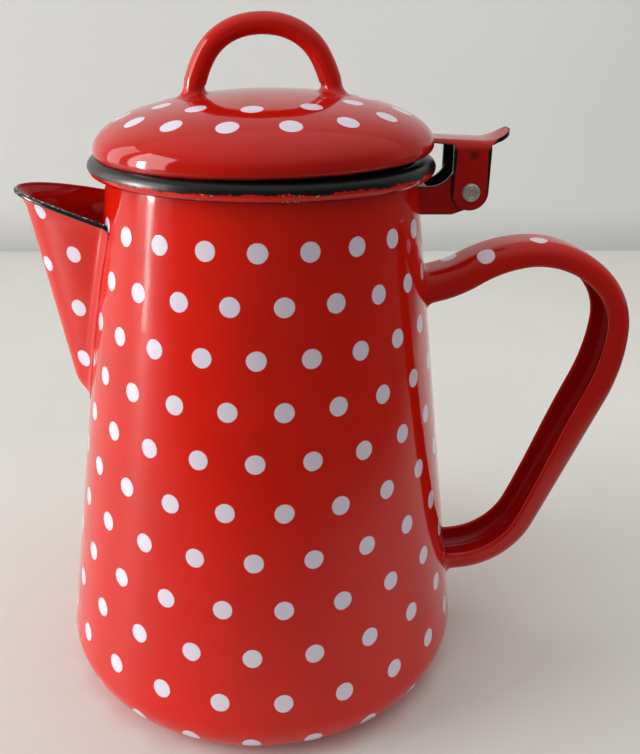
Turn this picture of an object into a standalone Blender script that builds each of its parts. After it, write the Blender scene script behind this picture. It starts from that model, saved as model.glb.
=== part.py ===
"""Enamelled steel milk kettle with a trough spout, a channel handle and a hinged lid.

The pot stands on the XY plane with +Z up. Its axis is the Z axis, the spout points
along -X, and the handle and the lid's hinge are on +X. Lengths are in metres.
"""
import math

import bmesh
import bpy
from mathutils import Matrix

# Shared sizes
SEGMENTS = 60
WALL = 0.001
FIT_GAP = 0.0003
OVERRUN = 0.004
MERGE = 0.00001

# Pot body: a tapered wall on a rounded foot, rolled outwards at the mouth
FOOT_RADIUS = 0.0662
NECK_RADIUS = 0.0468
RIM_TOP = 0.1677
RIM_WIDTH = 0.0066
RIM_HEIGHT = 0.0056
BASE_FILLET = 0.012
CURL_GAP = 0.0006
CURL_STEPS = 11
FILLET_STEPS = 6

# Strainer holes behind the spout, in rows that lose one hole each
HOLE_RADIUS = 0.0025
HOLE_PITCH = 0.0078
HOLE_ROW_PITCH = 0.0075
HOLE_DROP = 0.0277
HOLE_TOP_COUNT = 4
HOLE_SIDES = 12

# Spout: a pressed sheet with a parabolic plan, a straight keel and a beaded lip
SPOUT_OVERHANG = 0.0289
SPOUT_LIP_DROP = 0.0112
SPOUT_LIP_FALL = math.radians(12.5)
SPOUT_HEIGHT = 0.0580
SPOUT_KNEE_STANDOFF = 0.0054
SPOUT_KNEE_RADIUS = 0.011
SPOUT_KNEE_TURN = math.radians(62)
SPOUT_LIP_NOSE = 0.0066
SPOUT_KNEE_NOSE = 0.0045
SPOUT_BITE = 0.009
SPOUT_ROWS = 9
SPOUT_KNEE_ROWS = 6
SPOUT_COLUMNS = 16
SPOUT_CROWDING = 1.4
LIP_BEAD_RADIUS = 0.00095

# Handle: a channel bent in one plane, open towards the pot
HANDLE_WIDTH = 0.018
HANDLE_DEPTH = 0.0076
HANDLE_CORNER = 0.003
HANDLE_TOE = 0.0012
HANDLE_SHEET = 0.0012
HANDLE_DROP = 0.0193
HANDLE_CREST_RISE = 0.010
HANDLE_OVERHANG = 0.0517
HANDLE_ROOT_RADIUS = 0.038
HANDLE_SHOULDER_RADIUS = 0.050
HANDLE_BEND_RADIUS = 0.030
HANDLE_BACK_RADIUS = 0.045
HANDLE_LIMB_LEAN = math.radians(24.7)
HANDLE_FOOT_RADIUS = 0.030
HANDLE_FOOT_HEIGHT = 0.0240
ARC_STEP = math.radians(9)
CORNER_STEP = math.radians(30)

# Lid: a cushion shaped dome turned under into a skirt
LID_OVERHANG = 0.0043
LID_HEIGHT = 0.0201
LID_EDGE_HEIGHT = 0.0026
LID_EDGE_TUCK = 0.0024
LID_DOME_POWER = 1.42
LID_SEAT_GAP = 0.0004
LID_SKIRT_CLEARANCE = 0.0022
LID_SKIRT_DEPTH = 0.0066
LID_STEPS = 12
LID_EDGE_STEPS = 4

# Lid knob: an oval bar bent into a loop
KNOB_HALF_SPAN = 0.0207
KNOB_RISE = 0.0189
KNOB_HEIGHT = 0.0205
KNOB_THICKNESS = 0.0067
KNOB_WIDTH = 0.0084
KNOB_STEPS = 22
KNOB_SIDES = 14

# Hinge: the pin, the bracket on the pot and the strap on the lid
PIN_OVERHANG = 0.0160
PIN_DROP = 0.0108
PIN_RADIUS = 0.0016
PIN_HEAD_RADIUS = 0.0026
PIN_HEAD_HEIGHT = 0.0010
PIN_DIMPLE_RADIUS = 0.0012
PIN_DIMPLE_DEPTH = 0.0004
PIN_SIDES = 20
STRAP_WIDTH = 0.017
STRAP_SHEET = 0.0012
STRAP_RISE = 0.0154
STRAP_CORNER = 0.0018
EAR_WIDTH = 0.0108
TAB_RADIUS = 0.011
TAB_TURN = math.radians(43)
TAB_TIP_WIDTH = 0.011
TAB_TIP_CORNER = 0.0035
BRACKET_SHEET = 0.0012
BRACKET_DROP = 0.0071
BRACKET_NECK_RISE = 0.0015
BRACKET_LUG_WIDTH = 0.0098
BRACKET_LUG_RISE = 0.0083
BRACKET_LUG_CORNER = 0.0035
BRACKET_ROOT_RADIUS = 0.0040

# Sizes that follow from the ones above
RIM_MID = RIM_TOP - RIM_HEIGHT / 2
TAPER = (FOOT_RADIUS - NECK_RADIUS) / RIM_MID
TAPER_ANGLE = math.atan(TAPER)
MOUTH_RADIUS = NECK_RADIUS - WALL / math.cos(TAPER_ANGLE)
HOLE_TOP = RIM_TOP - HOLE_DROP
SPOUT_REACH = NECK_RADIUS + SPOUT_OVERHANG
SPOUT_LIP_HEIGHT = RIM_TOP - SPOUT_LIP_DROP
SPOUT_KNEE_HEIGHT = SPOUT_LIP_HEIGHT - SPOUT_HEIGHT
SPOUT_KNEE_REACH = FOOT_RADIUS - TAPER * SPOUT_KNEE_HEIGHT + SPOUT_KNEE_STANDOFF
LID_RADIUS = NECK_RADIUS + LID_OVERHANG
LID_SEAT = RIM_TOP + LID_SEAT_GAP
LID_WIDEST = LID_SEAT + LID_EDGE_HEIGHT
LID_TOP = LID_SEAT + LID_HEIGHT
KNOB_TOP = LID_TOP + KNOB_HEIGHT
SKIRT_RADIUS = MOUTH_RADIUS - LID_SKIRT_CLEARANCE
SKIRT_BOTTOM = LID_SEAT - LID_SKIRT_DEPTH
PIN_X = NECK_RADIUS + PIN_OVERHANG
PIN_HEIGHT = RIM_TOP - PIN_DROP
STRAP_TOP = PIN_HEIGHT + STRAP_RISE
BRACKET_BOTTOM = PIN_HEIGHT - BRACKET_DROP
BRACKET_NECK_TOP = PIN_HEIGHT + BRACKET_NECK_RISE
BRACKET_LUG_TOP = PIN_HEIGHT + BRACKET_LUG_RISE
HANDLE_TOP_HEIGHT = BRACKET_BOTTOM - HANDLE_DROP
HANDLE_REACH = FOOT_RADIUS + HANDLE_OVERHANG
EAR_INSIDE = STRAP_WIDTH / 2 - STRAP_SHEET
BRACKET_WIDTH = 2 * (EAR_INSIDE - FIT_GAP)
PIN_HOLE_RADIUS = PIN_RADIUS + FIT_GAP

STRAP_START = LID_RADIUS - 2 * OVERRUN
STRAP_FOLD = PIN_X + EAR_WIDTH / 2

# Finishes: colour, roughness and metallic value
RED_ENAMEL = ((0.42, 0.012, 0.008), 0.12, 0)
BARE_STEEL = ((0.62, 0.61, 0.58), 0.3, 1)
SHARP_ANGLE = math.radians(35)


def clear_scene():
    for thing in list(bpy.data.objects):
        bpy.data.objects.remove(thing, do_unlink=True)


def new_collection(name):
    collection = bpy.data.collections.new(name)
    bpy.context.scene.collection.children.link(collection)
    return collection


def paint(thing, finish):
    """Give an object its own Principled material, named for it."""
    color, roughness, metallic = finish
    material = bpy.data.materials.new(thing.name)
    material.use_nodes = True
    shader = material.node_tree.nodes["Principled BSDF"]
    shader.inputs["Base Color"].default_value = (*color, 1)
    shader.inputs["Roughness"].default_value = roughness
    shader.inputs["Metallic"].default_value = metallic
    thing.data.materials.clear()
    thing.data.materials.append(material)
    thing.data.shade_smooth()
    thing.data.set_sharp_from_angle(angle=SHARP_ANGLE)


def body_radius(height, gap=0):
    """Outside radius of the pot's tapered wall at a height, plus a gap."""
    return FOOT_RADIUS - TAPER * height + gap


def arc_chain(start, heading, moves):
    """Points along arcs and straights; a move is (turn, radius) or (0, length)."""
    x, z = start
    points = [(x, z)]
    for turn, size in moves:
        if turn == 0:
            x += size * math.cos(heading)
            z += size * math.sin(heading)
            points.append((x, z))
            continue
        steps = max(2, round(abs(turn) / ARC_STEP))
        side = math.copysign(size, turn)
        centre_x = x - side * math.sin(heading)
        centre_z = z + side * math.cos(heading)
        for step in range(1, steps + 1):
            angle = heading + turn * step / steps
            points.append((centre_x + side * math.sin(angle), centre_z - side * math.cos(angle)))
        heading += turn
        x, z = points[-1]
    return points


def corner_arc(centre, radius, start, end):
    """Points on a circle from one angle to another, both ends included."""
    steps = max(2, round(abs(end - start) / CORNER_STEP))
    angles = [start + (end - start) * step / steps for step in range(steps + 1)]
    return [(centre[0] + radius * math.cos(a), centre[1] + radius * math.sin(a)) for a in angles]


def link_mesh(name, bm, collection):
    mesh = bpy.data.meshes.new(name)
    bm.to_mesh(mesh)
    bm.free()
    thing = bpy.data.objects.new(name, mesh)
    collection.objects.link(thing)
    return thing


def turned(name, profile, collection, steps=SEGMENTS):
    """Turn an open profile of (radius, height) points about the Z axis."""
    bm = bmesh.new()
    points = [bm.verts.new((radius, 0, height)) for radius, height in profile]
    for first, second in zip(points, points[1:]):
        bm.edges.new((first, second))
    thing = link_mesh(name, bm, collection)
    screw = thing.modifiers.new("turn", "SCREW")
    screw.steps = steps
    screw.render_steps = steps
    screw.use_merge_vertices = True
    screw.merge_threshold = MERGE
    return thing


def thicken(thing, thickness, offset=-1):
    solidify = thing.modifiers.new("sheet", "SOLIDIFY")
    solidify.thickness = thickness
    solidify.offset = offset
    solidify.use_even_offset = True


def flat_curve(name, points, closed=True):
    """A 2D curve through points, with straight segments."""
    curve = bpy.data.curves.new(name, "CURVE")
    curve.dimensions = "2D"
    spline = curve.splines.new("POLY")
    spline.points.add(len(points) - 1)
    for target, (u, v) in zip(spline.points, points):
        target.co = (u, v, 0, 1)
    spline.use_cyclic_u = closed
    return curve


def as_mesh(name, curve, matrix, collection):
    """Turn a curve into a mesh object with the same placing and its caps welded."""
    guide = bpy.data.objects.new(name + "_guide", curve)
    collection.objects.link(guide)
    guide.matrix_world = matrix
    bpy.context.view_layer.update()
    evaluated = guide.evaluated_get(bpy.context.evaluated_depsgraph_get())
    mesh = bpy.data.meshes.new_from_object(evaluated)
    bm = bmesh.new()
    bm.from_mesh(mesh)
    bpy.data.meshes.remove(mesh)
    bmesh.ops.remove_doubles(bm, verts=bm.verts, dist=MERGE)
    thing = link_mesh(name, bm, collection)
    thing.matrix_world = guide.matrix_world
    bpy.data.objects.remove(guide, do_unlink=True)
    return thing


def side_plate(name, outline, half_width, collection):
    """Extrude an outline drawn in X and Z equally to both sides of the XZ plane."""
    curve = flat_curve(name, outline)
    curve.fill_mode = "BOTH"
    curve.extrude = half_width
    return as_mesh(name, curve, Matrix.Rotation(math.pi / 2, 4, "X"), collection)


def swept(name, path, section, closed, collection):
    """Sweep a section along a path drawn in X and Z."""
    profile = bpy.data.objects.new(name + "_section", flat_curve(name + "_section", section, closed))
    collection.objects.link(profile)
    curve = flat_curve(name, path, closed=False)
    curve.bevel_mode = "OBJECT"
    curve.bevel_object = profile
    curve.use_fill_caps = closed
    thing = as_mesh(name, curve, Matrix.Rotation(math.pi / 2, 4, "X"), collection)
    bpy.data.objects.remove(profile, do_unlink=True)
    return thing


def boolean(thing, tool, operation):
    modifier = thing.modifiers.new(operation.lower(), "BOOLEAN")
    modifier.operation = operation
    modifier.object = tool


def hide_tools(collection):
    for thing in collection.objects:
        thing.hide_render = True
        thing.display_type = "WIRE"


def cross_rod(bm, radius, length, centre, sides):
    """A cylinder along Y in a mesh under construction."""
    matrix = Matrix.Translation(centre) @ Matrix.Rotation(math.pi / 2, 4, "X")
    bmesh.ops.create_cone(bm, cap_ends=True, segments=sides, radius1=radius, radius2=radius,
                          depth=length, matrix=matrix)


def make_pot_envelope(tools):
    """The space that the pot's wall fills, with the gap its neighbours keep."""
    top = RIM_TOP + OVERRUN
    profile = [(0, top), (body_radius(top, FIT_GAP), top), (body_radius(0, FIT_GAP), 0), (0, 0)]
    return turned("pot_envelope", profile, tools)


def make_strainer_cutter(tools):
    bm = bmesh.new()
    for row in range(HOLE_TOP_COUNT):
        count = HOLE_TOP_COUNT - row
        height = HOLE_TOP - row * HOLE_ROW_PITCH
        for hole in range(count):
            across = (hole - (count - 1) / 2) * HOLE_PITCH
            centre = (-body_radius(height), across, height)
            matrix = Matrix.Translation(centre) @ Matrix.Rotation(math.pi / 2, 4, "Y")
            bmesh.ops.create_cone(bm, cap_ends=True, segments=HOLE_SIDES, radius1=HOLE_RADIUS,
                                  radius2=HOLE_RADIUS, depth=2 * OVERRUN, matrix=matrix)
    return link_mesh("strainer_cutter", bm, tools)


def make_pot_body(parts, tools):
    """The inside of the sheet, from the floor's centre up to the end of the rolled rim."""
    fillet_centre = FOOT_RADIUS - BASE_FILLET * (1 + math.sin(TAPER_ANGLE)) / math.cos(TAPER_ANGLE)
    inner_fillet = BASE_FILLET - WALL
    profile = [(0, WALL)]
    for step in range(FILLET_STEPS + 1):
        angle = -math.pi / 2 + (math.pi / 2 + TAPER_ANGLE) * step / FILLET_STEPS
        profile.append((fillet_centre + inner_fillet * math.cos(angle),
                        BASE_FILLET + inner_fillet * math.sin(angle)))
    half_width = RIM_WIDTH / 2
    half_height = RIM_HEIGHT / 2
    curl_end = -math.acos((WALL + CURL_GAP - half_width) / half_width)
    for step in range(CURL_STEPS + 1):
        angle = math.pi + (curl_end - math.pi) * step / CURL_STEPS
        profile.append((MOUTH_RADIUS + half_width * (1 + math.cos(angle)),
                        RIM_MID + half_height * math.sin(angle)))
    pot = turned("pot_body", profile, parts)
    thicken(pot, WALL)
    boolean(pot, make_strainer_cutter(tools), "DIFFERENCE")
    paint(pot, RED_ENAMEL)
    return pot


def spout_keel():
    """The keel from the lip's tip down, round the knee and into the pot."""
    drop = SPOUT_LIP_HEIGHT - SPOUT_KNEE_HEIGHT
    back = SPOUT_REACH - SPOUT_KNEE_REACH
    heading = math.atan2(-drop, back)
    straight = math.hypot(drop, back) / SPOUT_ROWS
    moves = [(0, straight)] * SPOUT_ROWS
    moves += [(SPOUT_KNEE_TURN / SPOUT_KNEE_ROWS, SPOUT_KNEE_RADIUS)] * SPOUT_KNEE_ROWS
    moves += [(0, OVERRUN)]
    return arc_chain((-SPOUT_REACH, SPOUT_LIP_HEIGHT), heading, moves)


def spout_row(keel_x, keel_z):
    """A parabola across the spout, from inside the pot's wall round the keel and back."""
    share = (keel_z - SPOUT_KNEE_HEIGHT) / (SPOUT_LIP_HEIGHT - SPOUT_KNEE_HEIGHT)
    share = max(0, share)
    nose = SPOUT_KNEE_NOSE + (SPOUT_LIP_NOSE - SPOUT_KNEE_NOSE) * share
    fall = math.tan(SPOUT_LIP_FALL * share)
    end_x = -body_radius(keel_z, -SPOUT_BITE)
    depth = max(end_x - keel_x, WALL)
    half_width = math.sqrt(2 * nose * depth)
    row = []
    for column in range(SPOUT_COLUMNS + 1):
        turn = 2 * column / SPOUT_COLUMNS - 1
        across = math.copysign(abs(turn) ** SPOUT_CROWDING, turn)
        x = keel_x + depth * across ** 2
        row.append((x, half_width * across, keel_z - fall * (x - keel_x)))
    return row


def make_spout(parts, tools, pot_envelope):
    rows = [spout_row(x, z) for x, z in spout_keel()]
    bm = bmesh.new()
    grid = [[bm.verts.new(point) for point in row] for row in rows]
    for upper, lower in zip(grid, grid[1:]):
        for column in range(SPOUT_COLUMNS):
            bm.faces.new((upper[column], upper[column + 1], lower[column + 1], lower[column]))
    spout = link_mesh("spout", bm, parts)
    thicken(spout, WALL, offset=0)

    bead = bpy.data.curves.new("lip_bead", "CURVE")
    bead.dimensions = "3D"
    bead.bevel_depth = LIP_BEAD_RADIUS
    bead.bevel_resolution = 1
    bead.use_fill_caps = True
    spline = bead.splines.new("POLY")
    spline.points.add(SPOUT_COLUMNS)
    for target, point in zip(spline.points, rows[0]):
        target.co = (*point, 1)
    boolean(spout, as_mesh("lip_bead", bead, Matrix.Identity(4), tools), "UNION")
    boolean(spout, pot_envelope, "DIFFERENCE")
    paint(spout, RED_ENAMEL)
    return spout


def handle_path():
    """The outside of the handle's web, from inside the pot at the top to inside it below."""
    root_drop = HANDLE_CREST_RISE / (HANDLE_ROOT_RADIUS + HANDLE_SHOULDER_RADIUS)
    root_turn = math.acos(1 - root_drop)
    crest_x = HANDLE_REACH - HANDLE_BEND_RADIUS
    crest_z = HANDLE_TOP_HEIGHT + HANDLE_CREST_RISE
    root_x = crest_x - (HANDLE_ROOT_RADIUS + HANDLE_SHOULDER_RADIUS) * math.sin(root_turn)
    foot_turn = math.pi / 2 - HANDLE_LIMB_LEAN
    back_drop = HANDLE_BACK_RADIUS * math.sin(HANDLE_LIMB_LEAN)
    foot_drop = HANDLE_FOOT_RADIUS * (1 - math.cos(foot_turn))
    limb_drop = crest_z - HANDLE_BEND_RADIUS - back_drop - foot_drop - HANDLE_FOOT_HEIGHT
    lead_x = min(root_x, body_radius(HANDLE_TOP_HEIGHT)) - OVERRUN
    path = [(lead_x, HANDLE_TOP_HEIGHT)]
    path += arc_chain((root_x, HANDLE_TOP_HEIGHT), 0, [
        (root_turn, HANDLE_ROOT_RADIUS),
        (-root_turn, HANDLE_SHOULDER_RADIUS),
        (-math.pi / 2, HANDLE_BEND_RADIUS),
        (-HANDLE_LIMB_LEAN, HANDLE_BACK_RADIUS),
        (0, limb_drop / math.cos(HANDLE_LIMB_LEAN)),
        (-foot_turn, HANDLE_FOOT_RADIUS),
    ])
    tail_x = min(path[-1][0], body_radius(HANDLE_FOOT_HEIGHT)) - OVERRUN
    return path + [(tail_x, HANDLE_FOOT_HEIGHT)]


def handle_section():
    """Half of the channel is drawn and mirrored: flange, toed-in edge, corner and web."""
    half = HANDLE_WIDTH / 2
    corner = corner_arc((HANDLE_CORNER, half - HANDLE_CORNER), HANDLE_CORNER, math.pi, math.pi / 2)
    toe = corner_arc((HANDLE_DEPTH - HANDLE_TOE, half - HANDLE_TOE), HANDLE_TOE,
                     math.pi / 2, math.pi / 6)
    upper = corner + toe
    return [(depth, -across) for depth, across in reversed(upper)] + upper


def make_handle(parts, tools, pot_envelope):
    handle = swept("handle", handle_path(), handle_section(), False, parts)
    thicken(handle, HANDLE_SHEET)
    boolean(handle, pot_envelope, "DIFFERENCE")
    paint(handle, RED_ENAMEL)
    return handle


def bracket_outline():
    """Side view of the bracket: a neck from the pot under the rim, and the lug for the pin."""
    left = body_radius(BRACKET_BOTTOM, -OVERRUN)
    lug_left = PIN_X - BRACKET_LUG_WIDTH / 2
    lug_right = PIN_X + BRACKET_LUG_WIDTH / 2
    low_corner = BRACKET_LUG_WIDTH / 2
    root = (lug_left - BRACKET_ROOT_RADIUS, BRACKET_NECK_TOP + BRACKET_ROOT_RADIUS)
    top = BRACKET_LUG_TOP - BRACKET_LUG_CORNER
    outline = [(left, BRACKET_NECK_TOP), (left, BRACKET_BOTTOM)]
    outline += corner_arc((lug_right - low_corner, BRACKET_BOTTOM + low_corner), low_corner, -math.pi / 2, 0)
    outline += corner_arc((lug_right - BRACKET_LUG_CORNER, top), BRACKET_LUG_CORNER, 0, math.pi / 2)
    outline += corner_arc((lug_left + BRACKET_LUG_CORNER, top), BRACKET_LUG_CORNER, math.pi / 2, math.pi)
    outline += corner_arc(root, BRACKET_ROOT_RADIUS, 0, -math.pi / 2)
    return outline


def make_hinge_bracket(parts, tools, pot_envelope):
    bracket = side_plate("hinge_bracket", bracket_outline(), BRACKET_WIDTH / 2, parts)
    web_face = body_radius(BRACKET_BOTTOM, FIT_GAP + BRACKET_SHEET)
    far_face = PIN_X + BRACKET_LUG_WIDTH
    low = BRACKET_BOTTOM - OVERRUN
    high = BRACKET_LUG_TOP + OVERRUN
    slot_outline = [(web_face, low), (far_face, low), (far_face, high), (web_face, high)]
    slot = side_plate("bracket_slot", slot_outline, BRACKET_WIDTH / 2 - BRACKET_SHEET, tools)
    boolean(bracket, slot, "DIFFERENCE")
    boolean(bracket, pot_envelope, "DIFFERENCE")
    bm = bmesh.new()
    cross_rod(bm, PIN_HOLE_RADIUS, BRACKET_WIDTH + OVERRUN, (PIN_X, 0, PIN_HEIGHT), PIN_SIDES)
    boolean(bracket, link_mesh("bracket_pin_hole", bm, tools), "DIFFERENCE")
    paint(bracket, RED_ENAMEL)
    return bracket


def make_hinge_pin(parts):
    """A rivet through the strap's ears and the bracket, with a dimpled head at each end."""
    inner = STRAP_WIDTH / 2 + FIT_GAP
    outer = inner + PIN_HEAD_HEIGHT
    chamfer = PIN_DIMPLE_DEPTH
    half = [
        (0, outer - PIN_DIMPLE_DEPTH),
        (PIN_DIMPLE_RADIUS, outer - PIN_DIMPLE_DEPTH),
        (PIN_DIMPLE_RADIUS + chamfer, outer),
        (PIN_HEAD_RADIUS - chamfer, outer),
        (PIN_HEAD_RADIUS, outer - chamfer),
        (PIN_HEAD_RADIUS, inner),
        (PIN_RADIUS, inner),
    ]
    profile = half + [(radius, -along) for radius, along in reversed(half)]
    pin = turned("hinge_pin", profile, parts, PIN_SIDES)
    pin.location = (PIN_X, 0, PIN_HEIGHT)
    pin.rotation_euler = (math.pi / 2, 0, 0)
    paint(pin, BARE_STEEL)
    return pin


def dome_profile(gap=0):
    """The lid's outside from the top's centre to the underside of its rolled edge."""
    profile = []
    crown = LID_TOP - LID_WIDEST
    for step in range(LID_STEPS + 1):
        angle = math.pi / 2 * step / LID_STEPS
        rise = math.cos(angle) ** (2 / LID_DOME_POWER)
        profile.append(((LID_RADIUS + gap) * math.sin(angle), LID_WIDEST + (crown + gap) * rise))
    for step in range(1, LID_EDGE_STEPS + 1):
        angle = math.pi / 2 * step / LID_EDGE_STEPS
        profile.append((LID_RADIUS + gap - LID_EDGE_TUCK * (1 - math.cos(angle)),
                        LID_WIDEST - (LID_EDGE_HEIGHT + gap) * math.sin(angle)))
    return profile


def make_lid_envelope(tools):
    profile = dome_profile(FIT_GAP)
    return turned("lid_envelope", profile + [(0, profile[-1][1])], tools)


def make_lid(parts):
    profile = dome_profile() + [(SKIRT_RADIUS, LID_SEAT), (SKIRT_RADIUS, SKIRT_BOTTOM)]
    lid = turned("lid", profile, parts)
    thicken(lid, WALL)
    paint(lid, RED_ENAMEL)
    return lid


def make_lid_knob(parts, tools, lid_envelope):
    """Half an ellipse on straight legs, cut off where it meets the dome."""
    centre_z = KNOB_TOP - KNOB_THICKNESS / 2 - KNOB_RISE
    path = [(-KNOB_HALF_SPAN, centre_z - OVERRUN)]
    for step in range(KNOB_STEPS + 1):
        angle = math.pi * (1 - step / KNOB_STEPS)
        path.append((KNOB_HALF_SPAN * math.cos(angle), centre_z + KNOB_RISE * math.sin(angle)))
    path.append((KNOB_HALF_SPAN, centre_z - OVERRUN))
    section = []
    for side in range(KNOB_SIDES):
        angle = -2 * math.pi * side / KNOB_SIDES
        section.append((KNOB_THICKNESS / 2 * math.cos(angle), KNOB_WIDTH / 2 * math.sin(angle)))
    knob = swept("lid_knob", path, section, True, parts)
    boolean(knob, lid_envelope, "DIFFERENCE")
    paint(knob, RED_ENAMEL)
    return knob


def strap_section():
    """The strap seen from its end: two ears joined by a plate with rounded folds."""
    half = STRAP_WIDTH / 2
    ear_drop = STRAP_TOP - PIN_HEIGHT + EAR_WIDTH / 2 + OVERRUN
    corner = corner_arc((STRAP_CORNER, half - STRAP_CORNER), STRAP_CORNER, math.pi, math.pi / 2)
    upper = corner + [(ear_drop, half)]
    return [(depth, -across) for depth, across in reversed(upper)] + upper


def strap_outline():
    """Side view of the strap: plate, raised thumb tab and the round-ended ears."""
    plate_under = STRAP_TOP - STRAP_SHEET
    top = arc_chain((STRAP_FOLD, STRAP_TOP), 0, [(TAB_TURN, TAB_RADIUS)])
    under = arc_chain((STRAP_FOLD, plate_under), 0, [(TAB_TURN, TAB_RADIUS + STRAP_SHEET)])
    ear = corner_arc((PIN_X, PIN_HEIGHT), EAR_WIDTH / 2, -math.pi, 0)
    above = [(x, z + STRAP_SHEET) for x, z in top]
    plate = [(STRAP_START, STRAP_TOP + STRAP_SHEET), (STRAP_START, plate_under)]
    plate += [(PIN_X - EAR_WIDTH / 2, plate_under)]
    return plate + ear + under + list(reversed(above))


def tab_plan():
    """Plan view of the strap: full width up to the ears, then drawn in to a round tip."""
    half = STRAP_WIDTH / 2 + FIT_GAP
    tip = STRAP_FOLD + (TAB_RADIUS + STRAP_SHEET / 2) * math.sin(TAB_TURN)
    tip_half = TAB_TIP_WIDTH / 2
    corner = corner_arc((tip - TAB_TIP_CORNER, tip_half - TAB_TIP_CORNER), TAB_TIP_CORNER,
                        math.pi / 2, 0)
    upper = [(STRAP_START, half), (STRAP_FOLD, half)] + corner
    return upper + [(x, -y) for x, y in reversed(upper)]


def make_lid_hinge_strap(parts, tools, lid_envelope):
    tab = arc_chain((STRAP_FOLD, STRAP_TOP), 0, [(TAB_TURN, TAB_RADIUS), (0, OVERRUN)])
    path = [(STRAP_START, STRAP_TOP)] + tab
    strap = swept("lid_hinge_strap", path, strap_section(), False, parts)
    thicken(strap, STRAP_SHEET)
    side = side_plate("strap_side_view", strap_outline(), STRAP_WIDTH, tools)
    boolean(strap, side, "INTERSECT")
    plan_curve = flat_curve("strap_plan", tab_plan())
    plan_curve.fill_mode = "BOTH"
    plan_curve.extrude = STRAP_TOP
    plan = as_mesh("strap_plan", plan_curve, Matrix.Translation((0, 0, STRAP_TOP)), tools)
    boolean(strap, plan, "INTERSECT")
    boolean(strap, lid_envelope, "DIFFERENCE")
    bm = bmesh.new()
    cross_rod(bm, PIN_HOLE_RADIUS, 2 * STRAP_WIDTH, (PIN_X, 0, PIN_HEIGHT), PIN_SIDES)
    boolean(strap, link_mesh("strap_pin_hole", bm, tools), "DIFFERENCE")
    paint(strap, RED_ENAMEL)
    return strap


def hang_on_pivot(pieces, parts):
    """Parent the lid's pieces to an empty that lies on the hinge axis."""
    pivot = bpy.data.objects.new("lid_pivot", None)
    parts.objects.link(pivot)
    pivot.location = (PIN_X, 0, PIN_HEIGHT)
    for piece in pieces:
        piece.parent = pivot
        piece.location = (-PIN_X, 0, -PIN_HEIGHT)


def main():
    clear_scene()
    parts = new_collection("milk_kettle")
    tools = new_collection("cutters")
    pot_envelope = make_pot_envelope(tools)
    lid_envelope = make_lid_envelope(tools)
    make_pot_body(parts, tools)
    make_spout(parts, tools, pot_envelope)
    make_handle(parts, tools, pot_envelope)
    make_hinge_bracket(parts, tools, pot_envelope)
    make_hinge_pin(parts)
    lid = make_lid(parts)
    knob = make_lid_knob(parts, tools, lid_envelope)
    strap = make_lid_hinge_strap(parts, tools, lid_envelope)
    hang_on_pivot([lid, knob, strap], parts)
    hide_tools(tools)


main()
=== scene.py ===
"""Looks of the enamelled milk kettle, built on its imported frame. Lengths are in metres."""
import math

import bmesh
import bpy
from mathutils import Matrix, Vector


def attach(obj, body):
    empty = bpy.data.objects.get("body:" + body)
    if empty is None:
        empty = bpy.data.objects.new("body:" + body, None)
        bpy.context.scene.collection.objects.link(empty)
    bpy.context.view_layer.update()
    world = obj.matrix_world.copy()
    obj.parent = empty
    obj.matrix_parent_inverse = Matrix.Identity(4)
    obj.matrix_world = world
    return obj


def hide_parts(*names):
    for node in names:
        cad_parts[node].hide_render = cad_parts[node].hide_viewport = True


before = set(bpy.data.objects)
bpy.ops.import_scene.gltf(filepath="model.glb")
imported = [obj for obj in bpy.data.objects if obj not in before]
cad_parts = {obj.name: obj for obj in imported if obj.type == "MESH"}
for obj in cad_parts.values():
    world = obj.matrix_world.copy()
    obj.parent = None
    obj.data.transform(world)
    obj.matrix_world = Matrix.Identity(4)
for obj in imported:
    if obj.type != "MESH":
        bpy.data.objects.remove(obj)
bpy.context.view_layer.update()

# Shared sizes
SEGMENTS = 180
WALL = 0.001
OVERRUN = 0.004
EMBED = 0.0005
MERGE = 0.000005
ARC_STEP = math.radians(2.5)
CORNER_STEP = math.radians(9)
FILLET_STEPS = 8
SHARP_ANGLE = math.radians(32)
UPRIGHT = Matrix.Rotation(math.pi / 2, 4, "X")

# Pot sizes
FOOT_RADIUS = 0.0662
NECK_RADIUS = 0.0468
RIM_WIDTH = 0.0066
RIM_HEIGHT = 0.0056
BASE_FILLET = 0.012
CURL_GAP = 0.0006
RIM_TOP = 0.1677
RIM_MID = RIM_TOP - RIM_HEIGHT / 2
TAPER = (FOOT_RADIUS - NECK_RADIUS) / RIM_MID
TAPER_ANGLE = math.atan(TAPER)
MOUTH_RADIUS = NECK_RADIUS - WALL / math.cos(TAPER_ANGLE)
BEAD_RADIUS = MOUTH_RADIUS + RIM_WIDTH / 2
FILLET_CENTRE = FOOT_RADIUS - BASE_FILLET * (1 + math.sin(TAPER_ANGLE)) / math.cos(TAPER_ANGLE)

# Strainer holes
HOLE_RADIUS = 0.0025
HOLE_PITCH = 0.0078
HOLE_ROW_PITCH = 0.0075
HOLE_TOP = RIM_TOP - 0.0277
HOLE_TOP_COUNT = 4

# Spout sizes; the last few millimetres of the lip flare outwards
SPOUT_FLARE = 0.0024
SPOUT_FLARE_HEIGHT = 0.0055
SPOUT_REACH = NECK_RADIUS + 0.0283 - SPOUT_FLARE
SPOUT_LIP_HEIGHT = RIM_TOP - 0.0112
SPOUT_LIP_FALL = math.radians(12.5)
SPOUT_LIP_SAG = 0.0008
SPOUT_LIP_ROLL = 0.050
SPOUT_KNEE_HEIGHT = SPOUT_LIP_HEIGHT - 0.0598
SPOUT_KNEE_REACH = FOOT_RADIUS - TAPER * SPOUT_KNEE_HEIGHT + 0.0056
SPOUT_KNEE_RADIUS = 0.011
SPOUT_KNEE_TURN = math.radians(62)
SPOUT_LIP_NOSE = 0.0066
SPOUT_KNEE_NOSE = 0.0045
SPOUT_BITE = 0.009
SPOUT_FILLET = 0.0022
SPOUT_ROWS = 36
SPOUT_KNEE_ROWS = 18
SPOUT_COLUMNS = 18
LIP_BEAD_RADIUS = 0.0007
LIP_BEAD_SIDES = 16

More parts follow.
